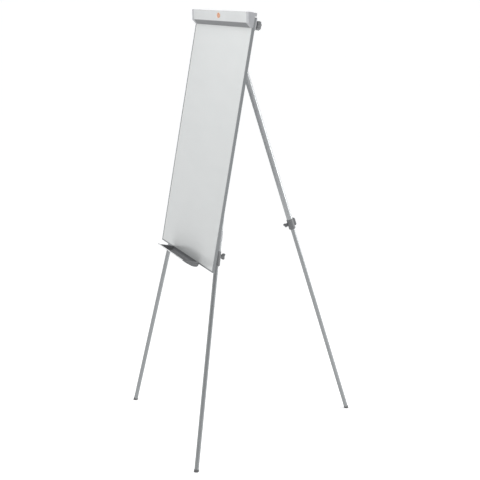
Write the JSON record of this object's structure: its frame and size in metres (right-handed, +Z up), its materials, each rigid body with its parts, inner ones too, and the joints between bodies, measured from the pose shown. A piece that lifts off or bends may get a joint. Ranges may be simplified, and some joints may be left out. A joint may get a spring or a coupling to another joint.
{
  "type": "flipchart easel",
  "caption": "Leaning whiteboard flipchart easel with a pad clamp bar, pen tray and a folding telescopic tripod with clamp collars.",
  "frame": {"origin": "on the floor, at the centre of the easel's footprint", "axes": "+Z up; +Y from the user through the board to the rear leg; +X to the right of someone facing the board"},
  "size_m": [0.9078, 0.8918, 1.7847],
  "materials": {
    "whiteboard_enamel": "satin white lacquered steel writing surface",
    "board_core": "honeycomb board core",
    "backing_sheet": "thin grey-lacquered steel foil",
    "edging": "matt anodised",
    "clamp_bar": "satin light grey powder coat",
    "light_grey_plastic": "fine-textured light grey moulding",
    "pale_plastic": "pale grey moulding",
    "dark_grey_plastic": "fine-textured dark grey moulding",
    "grip_rubber": "soft grey rubber under the bar",
    "foot_rubber": "black, slightly worn",
    "badge_orange": "glossy plain disc",
    "leg_tube": "satin silver-grey powder coat",
    "bracket_steel": "satin grey powder coat on pressed steel",
    "zinc_steel": "bright zinc plated",
    "brass_insert": "plain brass",
    "white_nylon": "plain nylon"
  },
  "bodies": {
    "board": {"board_face": "whiteboard_enamel", "board_core": "board_core", "board_backing": "backing_sheet", "frame_rail_top": "edging", "frame_rail_bottom": "edging", "frame_rail_left": "edging", "frame_rail_right": "edging", "stud_bushes": "white_nylon", "board_screws": "zinc_steel", "guide_bracket_left": "light_grey_plastic", "guide_bracket_right": "light_grey_plastic", "front_bracket_left": "bracket_steel", "front_bracket_right": "bracket_steel", "front_pivot_rivets": "zinc_steel", "front_pivot_washers": "white_nylon", "rear_bracket": "bracket_steel", "rear_pivot_bolt": "zinc_steel", "rear_pivot_nut": "zinc_steel", "rear_stop_pin": "zinc_steel", "leg_clip_left": "light_grey_plastic", "leg_clip_right": "light_grey_plastic"},
    "clamp_bar": {"clamp_bar": "clamp_bar", "clamp_bar_cap_left": "light_grey_plastic", "clamp_bar_cap_right": "light_grey_plastic", "grip_strip": "grip_rubber", "accent_badge": "badge_orange", "clamp_studs": "zinc_steel"},
    "knob_left": {"knob_left": "dark_grey_plastic", "knob_insert_left": "brass_insert"},
    "knob_right": {"knob_right": "dark_grey_plastic", "knob_insert_right": "brass_insert"},
    "pen_tray": {"pen_tray": "dark_grey_plastic", "tray_lip": "pale_plastic", "tray_end_left": "pale_plastic", "tray_end_right": "pale_plastic", "tray_clips": "zinc_steel"},
    "upper_leg_left": {"upper_tube_left": "leg_tube", "top_plug_left": "dark_grey_plastic", "clamp_collar_left": "dark_grey_plastic"},
    "lower_leg_left": {"lower_tube_left": "leg_tube", "glide_bush_left": "white_nylon", "foot_left": "foot_rubber"},
    "clamp_wing_left": {"wing_head_left": "dark_grey_plastic", "clamp_screw_left": "zinc_steel"},
    "upper_leg_right": {"upper_tube_right": "leg_tube", "top_plug_right": "dark_grey_plastic", "clamp_collar_right": "dark_grey_plastic"},
    "lower_leg_right": {"lower_tube_right": "leg_tube", "glide_bush_right": "white_nylon", "foot_right": "foot_rubber"},
    "clamp_wing_right": {"wing_head_right": "dark_grey_plastic", "clamp_screw_right": "zinc_steel"},
    "upper_leg_rear": {"upper_tube_rear": "leg_tube", "top_plug_rear": "dark_grey_plastic", "clamp_collar_rear": "dark_grey_plastic"},
    "lower_leg_rear": {"lower_tube_rear": "leg_tube", "glide_bush_rear": "white_nylon", "foot_rear": "foot_rubber"},
    "clamp_wing_rear": {"wing_head_rear": "dark_grey_plastic", "clamp_screw_rear": "zinc_steel"}
  },
  "joints": [
    {"name": "knob_left_turn", "type": "hinge", "parent": "board", "child": "knob_left", "pos_m": [-0.308, -0.1342, 1.73185], "axis": [0, 0.9848, -0.1736], "range_deg": [0, 3600]},
    {"name": "knob_right_turn", "type": "hinge", "parent": "board", "child": "knob_right", "pos_m": [0.308, -0.1342, 1.73185], "axis": [0, 0.9848, -0.1736], "range_deg": [0, 3600]},
    {"name": "clamp_bar_slide", "type": "slide", "parent": "board", "child": "clamp_bar", "axis": [0, -0.9848, 0.1736], "range_m": [0, 0.01]},
    {"name": "pen_tray_unclip", "type": "slide", "parent": "board", "child": "pen_tray", "axis": [0, -0.1736, -0.9848], "range_m": [0, 0.03]},
    {"name": "front_leg_left_swing", "type": "hinge", "parent": "board", "child": "upper_leg_left", "pos_m": [-0.125, -0.13422, 1.71154], "axis": [0, -0.9848, 0.1736], "range_deg": [0, 10.4]},
    {"name": "front_leg_right_swing", "type": "hinge", "parent": "board", "child": "upper_leg_right", "pos_m": [0.125, -0.13422, 1.71154], "axis": [0, 0.9848, -0.1736], "range_deg": [0, 10.4]},
    {"name": "rear_leg_fold", "type": "hinge", "parent": "board", "child": "upper_leg_rear", "pos_m": [0, -0.11426, 1.70091], "axis": [-1, 0, 0], "range_deg": [0, 27.92]},
    {"name": "lower_leg_left_slide", "type": "slide", "parent": "upper_leg_left", "child": "lower_leg_left", "axis": [0.1805, 0.1708, 0.9686], "range_m": [-0.05, 0.791]},
    {"name": "clamp_wing_left_turn", "type": "hinge", "parent": "upper_leg_left", "child": "clamp_wing_left", "pos_m": [-0.28903, -0.26971, 0.82797], "axis": [0, 0.9848, -0.1736], "range_deg": [0, 360]},
    {"name": "lower_leg_right_slide", "type": "slide", "parent": "upper_leg_right", "child": "lower_leg_right", "axis": [-0.1805, 0.1708, 0.9686], "range_m": [-0.05, 0.791]},
    {"name": "clamp_wing_right_turn", "type": "hinge", "parent": "upper_leg_right", "child": "clamp_wing_right", "pos_m": [0.28903, -0.26971, 0.82797], "axis": [0, 0.9848, -0.1736], "range_deg": [0, 360]},
    {"name": "lower_leg_rear_slide", "type": "slide", "parent": "upper_leg_rear", "child": "lower_leg_rear", "axis": [0, -0.3077, 0.9515], "range_m": [-0.05, 0.752]},
    {"name": "clamp_wing_rear_turn", "type": "hinge", "parent": "upper_leg_rear", "child": "clamp_wing_rear", "pos_m": [0, 0.13249, 0.873], "axis": [0, -0.9515, -0.3077], "range_deg": [0, 360]}
  ],
  "couplings": [
    {"joint": "knob_left_turn", "follows": "clamp_bar_slide", "rad_per_m": 6283.2},
    {"joint": "knob_right_turn", "follows": "clamp_bar_slide", "rad_per_m": 6283.2}
  ]
}
